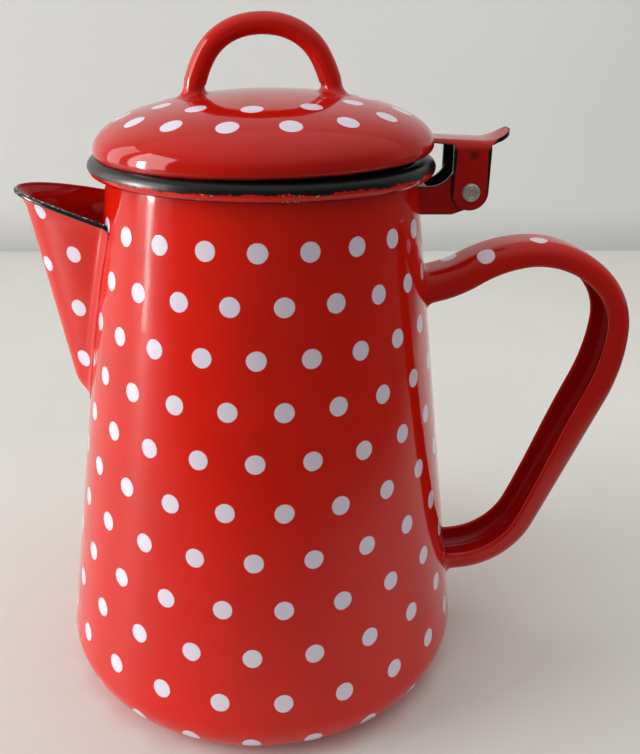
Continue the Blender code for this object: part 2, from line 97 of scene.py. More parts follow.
# Handle sizes
HANDLE_WIDTH = 0.018
HANDLE_DEPTH = 0.0076
HANDLE_CORNER = 0.0050
HANDLE_TOE = 0.0012
HANDLE_SHEET = 0.0012
HANDLE_ROOT_DEPTH = 0.26
HANDLE_ROOT_LENGTH = 0.034
HANDLE_BACK_DEPTH = 0.24
HANDLE_BACK_HEIGHT = 0.087
HANDLE_BACK_SPAN = 0.043
HANDLE_TOP_HEIGHT = 0.1307
HANDLE_CREST_RISE = 0.0102
HANDLE_REACH = 0.1184
HANDLE_ROOT_RADIUS = 0.034
HANDLE_SHOULDER_RADIUS = 0.046
HANDLE_BEND_TURN = math.radians(50)
HANDLE_BEND_RADIUS = 0.034
HANDLE_TIGHT_RADIUS = 0.028
HANDLE_BACK_RADIUS = 0.060
HANDLE_LIMB_LEAN = math.radians(24.3)
HANDLE_FOOT_RADIUS = 0.030
HANDLE_FOOT_HEIGHT = 0.0233
HANDLE_FILLET = 0.0024

# Lid sizes; as it lies on the rim, the hinge's side and the far side are a little raised
LID_RADIUS = NECK_RADIUS + 0.0043
LID_SEAT = RIM_TOP + 0.0006
LID_TOP = RIM_TOP + 0.0187
LID_EDGE_HEIGHT = 0.0023
LID_EDGE_TUCK = 0.0024
LID_WIDEST = LID_SEAT + LID_EDGE_HEIGHT
LID_DOME_POWER = 2.1
LID_STEPS = 60
LID_EDGE_STEPS = 12
LID_PITCH = 0.0250
LID_LEAN = 0.0109
LID_SHIFT = 0.0006
SKIRT_RADIUS = MOUTH_RADIUS - 0.0026
SKIRT_BOTTOM = LID_SEAT - 0.0056

# Knob sizes: a rounded loop whose legs lean outwards at their feet
KNOB_HALF_SPAN = 0.0193
KNOB_SQUARENESS = 2.15
KNOB_LEAN = 0.0015
KNOB_LEAN_HEIGHT = 0.010
KNOB_RISE = 0.0189
KNOB_TOP = RIM_TOP + 0.0412
KNOB_THICKNESS = 0.0067
KNOB_WIDTH = 0.0084
KNOB_FILLET = 0.0026
KNOB_LEVEL = KNOB_TOP - KNOB_THICKNESS / 2 - KNOB_RISE
KNOB_STEPS = 60
KNOB_SIDES = 40

# Hinge sizes
PIN_X = NECK_RADIUS + 0.0160
PIN_HEIGHT = RIM_TOP - 0.0108
PIN_RADIUS = 0.0016
PIN_HEAD_RADIUS = 0.0028
PIN_HEAD_HEIGHT = 0.0011
PIN_BROW = 0.0009
PIN_DIMPLE_RADIUS = 0.0017
PIN_DIMPLE_DEPTH = 0.0006
STRAP_WIDTH = 0.017
STRAP_SHEET = 0.0012
STRAP_TOP = PIN_HEIGHT + 0.0154
STRAP_CORNER = 0.0030
STRAP_START = LID_RADIUS - 2 * OVERRUN
STRAP_SAG = 0.0005
EAR_X = PIN_X - 0.0002
EAR_WIDTH = 0.0111
EAR_GROWTH = 0.0003
EAR_END = EAR_X + EAR_WIDTH / 2 + EAR_GROWTH
EAR_START = EAR_X - EAR_WIDTH / 2
EAR_BAND = 0.0005
EAR_BAND_GROWTH = 0.045
EDGE_BLUR = 0.0001
SMUDGE_X = PIN_X + 0.0003
SMUDGE_RISE = 0.0114
SMUDGE_LEVEL = 0.7
STRAP_FOLD = PIN_X + 0.0042
STRAP_NARROWS = PIN_X + 0.0053
TAB_RADIUS = 0.011
TAB_TURN = math.radians(43)
TAB_TIP_WIDTH = 0.012
TAB_TIP_CORNER = 0.0042
BRACKET_WIDTH = 0.014
BRACKET_SHEET = 0.0012
BRACKET_BOTTOM = PIN_HEIGHT - 0.0071
BRACKET_NECK_TOP = PIN_HEIGHT + 0.0015
BRACKET_LUG_TOP = PIN_HEIGHT + 0.0083
BRACKET_LUG_WIDTH = 0.0098
BRACKET_LUG_CORNER = 0.0028
BRACKET_LUG_TURN = math.radians(20)
BRACKET_ROOT_RADIUS = 0.0074

# Dots: a staggered grid on the pot, two rings on the lid and single ones elsewhere
DOT_RADIUS = 0.00275
DOT_COLUMNS = 22
DOT_ROW_PITCH = 0.0142545
DOT_MIDDLE_HEIGHT = 0.07754
DOT_ROWS_EACH_WAY = 5
DOT_LAST_ROW_RADIUS = 0.0633
DOT_TURN = -0.0430
DOT_TURN_PER_ROW = -0.0029
LID_DOT_RADIUS = 0.0031
LID_DOT_STRETCH = 1.07
LID_DOT_RINGS = [(-0.0003, 0.0022, 0.0421, 16, math.radians(-57.5)),
                 (-0.0007, 0.0035, 0.0317, 12, math.radians(-64.2))]
HANDLE_DOTS = [(0.0600, 0.0033, 0.1328), (0.0693, -0.0067, 0.1366), (0.0866, -0.0032, 0.1404)]
SPOUT_DOTS = [(-0.0566, 0.0143, 0.1389), (-0.0565, 0.0110, 0.1213), (-0.0561, 0.0077, 0.1038),
              (-0.0668, 0.0110, 0.1508), (-0.0667, 0.0070, 0.1340)]

# Camera, as fitted to the photograph
CAMERA_PLACE = (0, -0.26523, 0.20785)
CAMERA_PITCH = 0.2913
CAMERA_YAW = 0.0450
CAMERA_ROLL = 0.0104
FOCAL_PIXELS = 870.6
PRINCIPAL_PIXEL = (300.57, 275.88)
IMAGE_SIZE = (640, 754)
SENSOR = 36

WALL_Y = 0.507
STAGE_REACH = 2.0

# Levels of the room's light, and of the room as reflections show it
ROOM_LEFT = 0.61
ROOM_RIGHT = 0.40
MIRRORED_FRONT = 0.10
MIRRORED_BACK = 0.45
MIRRORED_TOP = 0.85


def linear(red, green, blue):
    """A screen colour of 0 to 255 as linear values."""
    shares = [value / 255 for value in (red, green, blue)]
    return tuple(s / 12.92 if s <= 0.04045 else ((s + 0.055) / 1.055) ** 2.4 for s in shares)


RED = linear(222, 29, 12)
# A darker copy of the red enamel for the lid, knob and handle: painted shade on these upper parts.
SHADED_UPPER_RED = linear(197, 24, 12)
DEEP_RED = linear(172, 15, 12)
# A darker copy of the red enamel for the hinge's bracket and strap: painted shade on the side away
# from the window.
SHADED_HINGE_RED = linear(178, 16, 10)
DOT_WHITE = linear(236, 226, 240)
BLACK = linear(17, 16, 17)
INSIDE_WHITE = linear(226, 224, 216)
# Pale grey for chipped enamel on the rim, and for the glints painted on the spout's lip.
CHIP_AND_GLINT_GREY = linear(205, 200, 200)
STEEL = linear(214, 210, 200)
ENAMEL_SPECULAR = 0.36
ENAMEL_ROUGHNESS = 0.06
BLACK_EXTRA_ROUGHNESS = 0.24
STEEL_ROUGHNESS = 0.34
STEEL_METALLIC = 0.5
DOT_BLUR = 0.00013
DOT_THICKNESS = 0.00004
TABLE = linear(224, 223, 217)
TABLE_LIGHT = linear(227, 226, 220)
# Painted shade for the table in front of and to the right of the pot, beyond the picture's edge.
TABLE_SHADE = linear(100, 98, 95)
# The wall's foot is darker as painted shade where it meets the table, and its right side a little
# paler as painted light.
WALL_FOOT_SHADE = 0.71
WALL_LEFT = linear(214, 214, 211)
WALL_RIGHT = linear(218, 219, 216)


# Shapes

def body_radius(height, gap=0):
    """Outside radius of the pot's tapered wall at a height, plus a gap."""
    return FOOT_RADIUS - TAPER * height + gap


def wall_distance(point):
    """How far a point is outside the pot's wall."""
    return (math.hypot(point[0], point[1]) - body_radius(point[2])) * math.cos(TAPER_ANGLE)


def wall_normal(point):
    radial = Vector((point[0], point[1], 0)).normalized() * math.cos(TAPER_ANGLE)
    return radial + Vector((0, 0, math.sin(TAPER_ANGLE)))


def fillet_levels(fillet, steps=FILLET_STEPS):
    """Pairs of (height above a wall, spread) down a round fillet, ending inside the wall."""
    turns = [math.pi / 2 * step / steps for step in range(steps + 1)]
    levels = [(fillet - fillet * math.sin(t), fillet - fillet * math.cos(t)) for t in turns]
    return levels + [(-EMBED, fillet)]


def fillet_spread(distance, fillet):
    """How far a surface spreads at a distance from the wall that it is welded to."""
    if distance >= fillet:
        return 0
    if distance <= 0:
        return fillet
    return fillet - math.sqrt(fillet ** 2 - (fillet - distance) ** 2)


def arc_chain(start, heading, moves):
    """Points (x, z, heading) along arcs and straights; a move is (turn, radius) or (0, length)."""
    x, z = start
    points = [(x, z, heading)]
    for turn, size in moves:
        if turn == 0:
            x += size * math.cos(heading)
            z += size * math.sin(heading)
            points.append((x, z, heading))
            continue
        steps = max(2, round(abs(turn) / ARC_STEP))
        side = math.copysign(size, turn)
        centre_x = x - side * math.sin(heading)
        centre_z = z + side * math.cos(heading)
        for step in range(1, steps + 1):
            angle = heading + turn * step / steps
            points.append((centre_x + side * math.sin(angle),
                           centre_z - side * math.cos(angle), angle))
        heading += turn
        x, z = points[-1][:2]
    return points


def arc(centre, radius, start, end, steps, squash=1):
    """Points on a circle or an ellipse from one angle to another, both ends included."""
    angles = [start + (end - start) * step / steps for step in range(steps + 1)]
    height = radius * squash
    return [(centre[0] + radius * math.cos(a), centre[1] + height * math.sin(a)) for a in angles]


def corner_arc(centre, radius, start, end):
    return arc(centre, radius, start, end, max(2, round(abs(end - start) / CORNER_STEP)))


def new_object(name, data):
    thing = bpy.data.objects.new(name, data)
    bpy.context.scene.collection.objects.link(thing)
    return thing


def link_mesh(name, bm):
    mesh = bpy.data.meshes.new(name)
    bmesh.ops.remove_doubles(bm, verts=bm.verts, dist=MERGE)
    bmesh.ops.recalc_face_normals(bm, faces=bm.faces)
    bm.to_mesh(mesh)
    bm.free()
    return new_object(name, mesh)


def loft(bm, rings, closed=True, materials=None):
    """Faces between rings of equal length; materials gives one index for each place on a ring."""
    loops = [[bm.verts.new(point) for point in ring] for ring in rings]
    count = len(rings[0])
    for lower, upper in zip(loops, loops[1:]):
        for place in range(count if closed else count - 1):
            after = (place + 1) % count
            face = bm.faces.new((lower[place], lower[after], upper[after], upper[place]))
            face.material_index = materials[place] if materials else 0
    return loops


def turned(name, profile, steps=SEGMENTS):
    """Turn an open profile of (radius, height) points about the Z axis."""
    bm = bmesh.new()
    points = [bm.verts.new((radius, 0, height)) for radius, height in profile]
    for first, second in zip(points, points[1:]):
        bm.edges.new((first, second))
    thing = link_mesh(name, bm)
    screw = thing.modifiers.new("turn", "SCREW")
    screw.steps = steps
    screw.render_steps = steps
    screw.use_merge_vertices = True
    screw.merge_threshold = MERGE
    return thing


def thicken(thing, thickness, new_side=0):
    """Make a surface a sheet; its new side takes its own material."""
    solidify = thing.modifiers.new("sheet", "SOLIDIFY")
    solidify.thickness = thickness
    solidify.offset = -1
    solidify.use_even_offset = True
    solidify.material_offset = new_side


def flat_curve(name, points, closed=True):
    """A 2D curve through points, with straight segments."""
    curve = bpy.data.curves.new(name, "CURVE")
    curve.dimensions = "2D"
    spline = curve.splines.new("POLY")
    spline.points.add(len(points) - 1)
    for target, point in zip(spline.points, points):
        target.co = (point[0], point[1], 0, 1)
    spline.use_cyclic_u = closed
    return curve


def final_mesh(thing):
    """The mesh of an object after its modifiers."""
    bpy.context.view_layer.update()
    evaluated = thing.evaluated_get(bpy.context.evaluated_depsgraph_get())
    return bpy.data.meshes.new_from_object(evaluated)


def as_mesh(name, curve, matrix):
    """Turn a curve into a mesh object with the same placing and its caps welded."""
    guide = new_object(name + "_guide", curve)
    guide.matrix_world = matrix
    bm = bmesh.new()
    bm.from_mesh(final_mesh(guide))
    bm.transform(matrix)
    bpy.data.objects.remove(guide, do_unlink=True)
    return link_mesh(name, bm)


def side_plate(name, outline, half_width, matrix=UPRIGHT):
    """Extrude an outline, in X and Z if not told otherwise, equally to both sides of its plane."""
    curve = flat_curve(name, outline)
    curve.fill_mode = "BOTH"
    curve.extrude = half_width
    return as_mesh(name, curve, matrix)


def cut(thing, tool, operation="DIFFERENCE"):
    modifier = thing.modifiers.new("cut", "BOOLEAN")
    modifier.operation = operation
    modifier.object = tool


def finish_piece(thing, node, body, materials, tools=()):
    """Make a piece's shape final, remove its tools and hand it to the frame."""
    for material in materials:
        thing.data.materials.append(material)
    thing.data = final_mesh(thing)
    thing.modifiers.clear()
    thing.data.shade_smooth()
    thing.data.set_sharp_from_angle(angle=SHARP_ANGLE)
    for tool in tools:
        bpy.data.objects.remove(tool, do_unlink=True)
    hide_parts(node)
    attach(thing, body)


# Materials

class Graph:
    """Short calls that add nodes to one material or to the world."""

    def __init__(self, owner, coordinates="Object"):
        owner.use_nodes = True
        self.owner = owner
        self.tree = owner.node_tree
        self.place = self.node("ShaderNodeTexCoord").outputs[coordinates]
        self.x, self.y, self.z = self.split(self.place)

    def split(self, vector):
        return self.node("ShaderNodeSeparateXYZ", {0: vector}).outputs

    def facing(self):
        """The parts of the surface's own normal."""
        return self.split(self.node("ShaderNodeTexCoord").outputs["Normal"])

    def feed(self, socket, value):
        if isinstance(value, bpy.types.NodeSocket):
            self.tree.links.new(value, socket)
        else:
            socket.default_value = value

    def node(self, kind, inputs=None, **settings):
        node = self.tree.nodes.new(kind)
        for name, setting in settings.items():
            setattr(node, name, setting)
        for socket, value in (inputs or {}).items():
            self.feed(node.inputs[socket], value)
        return node

    def math(self, operation, *values):
        return self.node("ShaderNodeMath", dict(enumerate(values)), operation=operation).outputs[0]

    def chain(self, operation, *values):
        """Join two or more values, from the first to the last, with one operation."""
        result = values[0]
        for value in values[1:]:
            result = self.math(operation, result, value)
        return result

    def total(self, *values):
        return self.chain("ADD", *values)

    def times(self, *values):
        return self.chain("MULTIPLY", *values)

    def most(self, *values):
        return self.chain("MAXIMUM", *values)

    def minus(self, first, second):
        return self.math("SUBTRACT", first, second)

    def inverse(self, value):
        return self.minus(1, value)

    def smooth(self, value, low, high, first=0, last=1):
        """The first result below low and the last above high, with a soft step between them."""
        inputs = {0: value, 1: low, 2: high, 3: first, 4: last}
        return self.node("ShaderNodeMapRange", inputs, interpolation_type="SMOOTHSTEP").outputs[0]

    def noise(self, scale, detail=2):
        inputs = {"Vector": self.place, "Scale": scale, "Detail": detail}
        return self.node("ShaderNodeTexNoise", inputs).outputs[0]

    def wobble(self, scale, size, detail=2):
        """Noise centred on zero that reaches about size each way."""
        return self.times(self.minus(self.noise(scale, detail), 0.5), 4 * size)

    def mix(self, factor, first, second):
        inputs = {0: factor, 6: self.color(first), 7: self.color(second)}
        return self.node("ShaderNodeMix", inputs, data_type="RGBA").outputs[2]

    def color(self, value):
        return (*value, 1) if isinstance(value, tuple) else value

    def reach(self):
        """Distance from the pot's axis."""
        return hypotenuse(self, self.x, self.y)

    def material(self, sockets):
        """Feed the shader's sockets and return the finished material."""
        shader = self.tree.nodes["Principled BSDF"]
        for name, value in sockets.items():
            self.feed(shader.inputs[name], value)
        return self.owner


def new_graph(name):
    return Graph(bpy.data.materials.new(name))


def hypotenuse(graph, *sides):
    squares = [graph.times(side, side) for side in sides]
    return graph.math("SQRT", graph.total(*squares))


def nearest_turn(graph, angle, start, step):
    """How far an angle is from the nearest of the evenly spaced ones."""
    turns = graph.math("DIVIDE", graph.minus(angle, start), step)
    return graph.times(graph.minus(turns, graph.math("ROUND", turns)), step)


def body_dot_distance(graph):
    """Distance to the nearest dot of the grid on the pot's wall."""
    step = 2 * math.pi / DOT_COLUMNS
    drop = graph.minus(DOT_MIDDLE_HEIGHT, graph.z)
    row = graph.math("ROUND", graph.math("DIVIDE", drop, DOT_ROW_PITCH))
    row = graph.math("MINIMUM", graph.most(row, -DOT_ROWS_EACH_WAY), DOT_ROWS_EACH_WAY)
    fall = graph.minus(drop, graph.times(row, DOT_ROW_PITCH))
    odd = graph.math("FLOORED_MODULO", graph.total(row, 1), 2)
    start = graph.total(DOT_TURN, graph.times(row, DOT_TURN_PER_ROW),
                        graph.times(odd, step / 2))
    angle = graph.math("ARCTAN2", graph.x, graph.times(graph.y, -1))
    reach = graph.reach()
    across = graph.times(nearest_turn(graph, angle, start, step), reach)
    row_height = graph.minus(DOT_MIDDLE_HEIGHT, graph.times(row, DOT_ROW_PITCH))
    row_reach = graph.minus(FOOT_RADIUS, graph.times(row_height, TAPER))
    spare = graph.minus(DOT_ROWS_EACH_WAY, row)
    row_reach = graph.math("MINIMUM", row_reach, graph.total(DOT_LAST_ROW_RADIUS, spare))
    inward = graph.minus(reach, row_reach)
    return hypotenuse(graph, across, fall, inward)


def lid_dot_distance(graph):
    """Distance to the nearest dot of the lid's two rings, less the extra size of a lid dot."""
    nearest = 1.0
    for centre_x, centre_y, radius, count, start in LID_DOT_RINGS:
        x = graph.minus(graph.x, centre_x)
        y = graph.minus(centre_y, graph.y)
        across = nearest_turn(graph, graph.math("ARCTAN2", x, y), start, 2 * math.pi / count)
        across = graph.times(across, radius)
        along = graph.minus(hypotenuse(graph, x, y), radius)
        along = graph.times(along, LID_DOT_STRETCH)
        nearest = graph.math("MINIMUM", nearest, hypotenuse(graph, across, along))
    return graph.minus(nearest, LID_DOT_RADIUS - DOT_RADIUS)


def single_dot_distance(graph, dots, mirrored=False):
    """Distance to the nearest of a few dots, on both sides of the XZ plane if mirrored."""
    y = graph.math("ABSOLUTE", graph.y) if mirrored else graph.y
    nearest = 1.0
    for dot in dots:
        sides = [graph.minus(part, place) for part, place in zip((graph.x, y, graph.z), dot)]
        nearest = graph.math("MINIMUM", nearest, hypotenuse(graph, *sides))
    return nearest


def rim_black(graph):
    """1 on the black upper half of the rolled rim, with a chipped edge, and under the bead, where
    the black is partly a dark enamel line and partly painted contact shadow.
    """
    edge = graph.total(graph.z, graph.wobble(160, 0.0006), graph.wobble(900, 0.0004))
    upper = graph.smooth(edge, RIM_MID - 0.0004, RIM_MID)
    # Under the bead: partly a dark enamel line, partly painted shadow in the crease against the
    # wall.
    under = graph.total(graph.z, graph.wobble(300, 0.0002))
    above = graph.smooth(under, RIM_MID - 0.0023, RIM_MID - 0.0020)
    return graph.minus(graph.total(upper, 1), above)


def rim_specks(graph):
    """1 on the pale specks where enamel has chipped under the bead and, in places, above it."""
    chipped = graph.smooth(graph.noise(60, 1), 0.50, 0.58)
    edge = graph.math("ABSOLUTE", graph.total(graph.z, graph.wobble(160, 0.0006), 0.0003 - RIM_MID))
    near_edge = graph.minus(chipped, graph.smooth(edge, 0.0001, 0.0005))
    low = graph.inverse(graph.smooth(graph.z, RIM_MID - 0.0019, RIM_MID - 0.0017))
    near = graph.most(graph.times(low, chipped), near_edge)
    return graph.smooth(graph.times(near, graph.noise(1500, 1)), 0.60, 0.66)


def lip_black(graph):
    """1 on the black edge along the spout's lip."""
    back = graph.total(graph.x, SPOUT_REACH)
    share = graph.math("DIVIDE", back, SPOUT_REACH - NECK_RADIUS)
    tilt = graph.total(graph.times(back, math.tan(SPOUT_LIP_FALL)),
                       graph.times(graph.y, -SPOUT_LIP_ROLL),
                       graph.times(graph.times(share, share), SPOUT_LIP_SAG))
    edge = graph.total(graph.z, tilt, graph.wobble(300, 0.0002), graph.wobble(900, 0.0002))
    return graph.smooth(edge, SPOUT_LIP_HEIGHT - 0.0009, SPOUT_LIP_HEIGHT - 0.0006)


def lip_material():
    """The black bead on the spout's lip, with pale specks painted along its top as glints."""
    graph = new_graph("spout_lip")
    # Pale specks on the bead's upward faces: painted glints.
    top = graph.smooth(graph.facing()[2], 0.75, 0.9)
    painted_glints = graph.times(top, graph.smooth(graph.noise(1600, 1), 0.56, 0.62))
    return coat(graph, graph.mix(painted_glints, BLACK, CHIP_AND_GLINT_GREY), graph.wobble(700, 0.00001))


def sheet_edges_and_shade(graph):
    """1 on the unseen faces of a folded sheet, as painted shade, and along its sharp edges."""
    rounded = graph.node("ShaderNodeBevel", {"Radius": 0.0009}, samples=6).outputs[0]
    plain = graph.node("ShaderNodeNewGeometry").outputs["Normal"]
    turn = graph.node("ShaderNodeVectorMath", {0: rounded, 1: plain}, operation="DOT_PRODUCT")
    bend = graph.inverse(turn.outputs["Value"])
    edge = graph.smooth(graph.total(bend, graph.wobble(500, 0.02)), 0.02, 0.09)
    # Inward and downward faces are painted black as shade.
    _, across, up = graph.facing()
    inward = graph.times(across, graph.math("SIGN", graph.y))
    inner = graph.inverse(graph.smooth(inward, -0.5, -0.3))
    under = graph.inverse(graph.smooth(up, -0.5, -0.3))
    return graph.most(edge, inner, under)


def bracket_black_and_shade(graph):
    """1 on the bracket's edges, also those that are turned up, and on its unseen faces as painted
    shade.
    """
    return graph.most(sheet_edges_and_shade(graph), graph.smooth(graph.facing()[2], 0.3, 0.5))


def strap_black_and_shade(graph):
    """1 on the strap's unseen faces as painted shade, in bands up its ears, on the tab's sides and
    in one smudge.
    """
    height = graph.minus(graph.z, PIN_HEIGHT)
    band = graph.total(graph.times(height, EAR_BAND_GROWTH), EAR_BAND, graph.wobble(250, 0.0001))
    growth = EAR_GROWTH / (STRAP_TOP - PIN_HEIGHT)
    end = graph.total(graph.times(height, growth), EAR_X + EAR_WIDTH / 2)
    past = graph.minus(graph.total(graph.x, band), end)
    right = graph.smooth(past, -EDGE_BLUR, EDGE_BLUR)
    start = graph.minus(graph.x, band)
    left = graph.inverse(graph.smooth(start, EAR_START - EDGE_BLUR, EAR_START + EDGE_BLUR))
    low = graph.inverse(graph.smooth(graph.z, STRAP_TOP - 0.0030, STRAP_TOP - 0.0012))
    bands = graph.times(low, graph.most(left, right))
    beyond = graph.smooth(graph.x, EAR_END - 0.0006, EAR_END)
    side = graph.times(beyond, graph.inverse(graph.smooth(graph.facing()[2], 0.2, 0.4)))
    spot = hypotenuse(graph, graph.minus(graph.x, SMUDGE_X), graph.minus(height, SMUDGE_RISE))
    smudge = graph.times(SMUDGE_LEVEL, graph.inverse(graph.smooth(spot, 0.0004, 0.0022)))
    return graph.most(bands, side, smudge, sheet_edges_and_shade(graph))


def coat(graph, base, height, black=None, rounded=0):
    """Join the colour, waviness and gloss of enamel; the black ground coat is duller."""
    normal = {"Height": height, "Distance": 1.0}
    if rounded:
        normal["Normal"] = graph.node("ShaderNodeBevel", {"Radius": rounded}, samples=6).outputs[0]
    bump = graph.node("ShaderNodeBump", normal)
    rough = graph.total(ENAMEL_ROUGHNESS, graph.wobble(120, 0.012))
    if black is not None:
        base = graph.mix(black, base, BLACK)
        rough = graph.total(rough, graph.times(black, BLACK_EXTRA_ROUGHNESS))
    return graph.material({"Normal": bump.outputs[0], "Base Color": base, "Roughness": rough,
                           "Specular IOR Level": ENAMEL_SPECULAR})


def enamel(name, color, dot_distance=None, black=None, rounded=0):
    """Glossy vitreous enamel: a faintly wavy, pitted coat with optional dots and black parts."""
    graph = new_graph(name)
    cloud = graph.smooth(graph.noise(35, 3), 0.35, 0.7)
    base = graph.mix(cloud, color, tuple(0.92 * value for value in color))
    height = graph.total(graph.wobble(55, 0.00004), graph.wobble(260, 0.000005))
    if dot_distance is not None:
        distance = graph.total(dot_distance(graph), graph.wobble(450, 0.00007))
        bare = graph.smooth(distance, DOT_RADIUS - DOT_BLUR, DOT_RADIUS + DOT_BLUR)
        base = graph.mix(bare, DOT_WHITE, base)
        height = graph.minus(height, graph.times(bare, DOT_THICKNESS))
    return coat(graph, base, height, black and black(graph), rounded)


def pot_inside_material():
    """The inside of the pot and, beyond the mouth, the rolled rim."""
    graph = new_graph("pot_inside")
    outer = graph.smooth(graph.reach(), BEAD_RADIUS - 0.0002, BEAD_RADIUS)
    line = graph.total(graph.z, graph.wobble(120, 0.0008))
    inner = graph.smooth(line, RIM_MID - 0.0045, RIM_MID - 0.0040)
    specks = graph.times(outer, rim_specks(graph))
    black = graph.total(graph.times(outer, rim_black(graph)),
                       graph.times(graph.inverse(outer), inner))
    black = graph.times(black, graph.inverse(specks))
    base = graph.mix(specks, graph.mix(outer, INSIDE_WHITE, RED), CHIP_AND_GLINT_GREY)
    height = graph.total(graph.wobble(90, 0.00003), graph.wobble(500, 0.000008))
    return coat(graph, base, height, black)


def steel_material():
    graph = new_graph("rivet_steel")
    shade = graph.smooth(graph.noise(900, 4), 0.3, 0.75)
    base = graph.mix(shade, STEEL, tuple(0.6 * value for value in STEEL))
    bump = graph.node("ShaderNodeBump", {"Height": graph.wobble(700, 0.00001), "Distance": 1.0})
    rough = graph.total(STEEL_ROUGHNESS, graph.wobble(500, 0.1))
    return graph.material({"Base Color": base, "Normal": bump.outputs[0], "Roughness": rough,
                           "Metallic": STEEL_METALLIC})


# Pieces

def pot_profile():
    """The inside of the sheet, from the floor's centre up to the end of the rolled rim."""
    foot = arc((FILLET_CENTRE, BASE_FILLET), BASE_FILLET - WALL, -math.pi / 2, TAPER_ANGLE, 16)
    half_width = RIM_WIDTH / 2
    curl_end = -math.acos((WALL + CURL_GAP - half_width) / half_width)
    curl = arc((BEAD_RADIUS, RIM_MID), half_width, math.pi, curl_end, 26, RIM_HEIGHT / RIM_WIDTH)
    return [(0, WALL)] + foot + curl


def strainer_cutter():
    bm = bmesh.new()
    for row in range(HOLE_TOP_COUNT):
        count = HOLE_TOP_COUNT - row
        height = HOLE_TOP - row * HOLE_ROW_PITCH
        for hole in range(count):
            across = (hole - (count - 1) / 2) * HOLE_PITCH
            centre = (-body_radius(height), across, height)
            matrix = Matrix.Translation(centre) @ Matrix.Rotation(math.pi / 2, 4, "Y")
            bmesh.ops.create_cone(bm, cap_ends=True, segments=32, radius1=HOLE_RADIUS,
                                  radius2=HOLE_RADIUS, depth=2 * OVERRUN, matrix=matrix)
    return link_mesh("strainer_cutter", bm)


def make_pot():
    pot = turned("pot_shell", pot_profile())
    thicken(pot, WALL, new_side=1)
    cutter = strainer_cutter()
    cut(pot, cutter)
    materials = [pot_inside_material(), enamel("pot_outside", RED, body_dot_distance)]
    finish_piece(pot, "pot_body", "pot", materials, [cutter])


def keel_point(length):
    """The spout's keel at a length from the lip: straight, round the knee and into the pot."""
    drop = SPOUT_LIP_HEIGHT - SPOUT_KNEE_HEIGHT
    back = SPOUT_REACH - SPOUT_KNEE_REACH
    straight = math.hypot(drop, back)
    heading = math.atan2(-drop, back)
    first = min(length, straight)
    x = -SPOUT_REACH + first * math.cos(heading)
    z = SPOUT_LIP_HEIGHT + first * math.sin(heading)
    turn = min(max(length - straight, 0) / SPOUT_KNEE_RADIUS, SPOUT_KNEE_TURN)
    x += SPOUT_KNEE_RADIUS * (math.sin(heading + turn) - math.sin(heading))
    z -= SPOUT_KNEE_RADIUS * (math.cos(heading + turn) - math.cos(heading))
    rest = max(length - straight - SPOUT_KNEE_RADIUS * SPOUT_KNEE_TURN, 0)
    return x + rest * math.cos(heading + turn), z + rest * math.sin(heading + turn)


def spout_point(length, across):
    """A point of the spout's outside; across is 0 on the keel and 1 inside the pot."""
    keel_x, keel_z = keel_point(length)
    share = max(0, (keel_z - SPOUT_KNEE_HEIGHT) / (SPOUT_LIP_HEIGHT - SPOUT_KNEE_HEIGHT))
    nose = SPOUT_KNEE_NOSE + (SPOUT_LIP_NOSE - SPOUT_KNEE_NOSE) * share
    depth = max(-body_radius(keel_z, -SPOUT_BITE) - keel_x, WALL)
    along = depth * across ** 2
    side = math.sqrt(2 * nose * depth) * across
    fall = math.tan(SPOUT_LIP_FALL * share) * along
    fall += SPOUT_LIP_SAG * (share * along / (SPOUT_REACH - NECK_RADIUS)) ** 2
    return Vector((keel_x + along, side, keel_z - fall + SPOUT_LIP_ROLL * share ** 2 * side))


def find(distance_at, target, low, high):
    """Where a falling distance passes a target, or low if it starts below it."""
    if distance_at(low) <= target:
        return low
    for _ in range(40):
        middle = (low + high) / 2
        if distance_at(middle) > target:
            low = middle
        else:
            high = middle
    return (low + high) / 2


def spout_lengths():
    """Places along the keel: even down to the fillet at its foot, then by fillet level."""
    drop = SPOUT_LIP_HEIGHT - SPOUT_KNEE_HEIGHT
    straight = math.hypot(drop, SPOUT_REACH - SPOUT_KNEE_REACH)
    full = straight + SPOUT_KNEE_RADIUS * SPOUT_KNEE_TURN + OVERRUN

    def clear(length):
        return wall_distance(spout_point(length, 0))

    stops = [find(clear, level, straight, full) for level, _ in fillet_levels(SPOUT_FILLET)]
    knee_row = (stops[0] - straight) / SPOUT_KNEE_ROWS
    lengths = [straight * step / SPOUT_ROWS for step in range(SPOUT_ROWS)]
    lengths += [straight + knee_row * step for step in range(SPOUT_KNEE_ROWS)]
    return lengths + stops


def spout_acrosses(length):
    """Places along half a row, from the keel to the wall."""
    def clear(across):
        return wall_distance(spout_point(length, across))

    stops = [find(clear, level, 0, 1) for level, _ in fillet_levels(SPOUT_FILLET)]
    return [stops[0] * step / SPOUT_COLUMNS for step in range(SPOUT_COLUMNS)] + stops


def lip_flare(point):
    """How far the lip's flare carries a point of the spout outwards, largest at the tip."""
    depth = SPOUT_LIP_HEIGHT - point.z - math.tan(SPOUT_LIP_FALL) * (point.x + SPOUT_REACH)
    share = max(0, 1 - depth / SPOUT_FLARE_HEIGHT) ** 2
    nearness = min(1, max(0, wall_distance(point) / (SPOUT_REACH - NECK_RADIUS)))
    return SPOUT_FLARE * share * (0.15 + 0.85 * nearness)


def spout_normal(length, across):
    """Outward normal of the spout's outside, found from nearby points."""
    step = 0.00005
    down = spout_point(length + step, across) - spout_point(length, across)
    side = spout_point(length, across + 0.002) - spout_point(length, across - 0.002)
    return side.cross(down).normalized()


def spout_vertex(length, across):
    """Outside and inside points of the sheet; the outside spreads where it meets the wall."""
    base = spout_point(length, across)
    normal = spout_normal(length, across)
    wall = wall_normal(base)
    spread = (normal - wall * normal.dot(wall)).normalized()
    middle = base + Vector((normal.x, normal.y, 0)).normalized() * lip_flare(base)
    outside = middle + normal * WALL / 2 + spread * fillet_spread(wall_distance(base), SPOUT_FILLET)
    return outside, middle - normal * WALL / 2


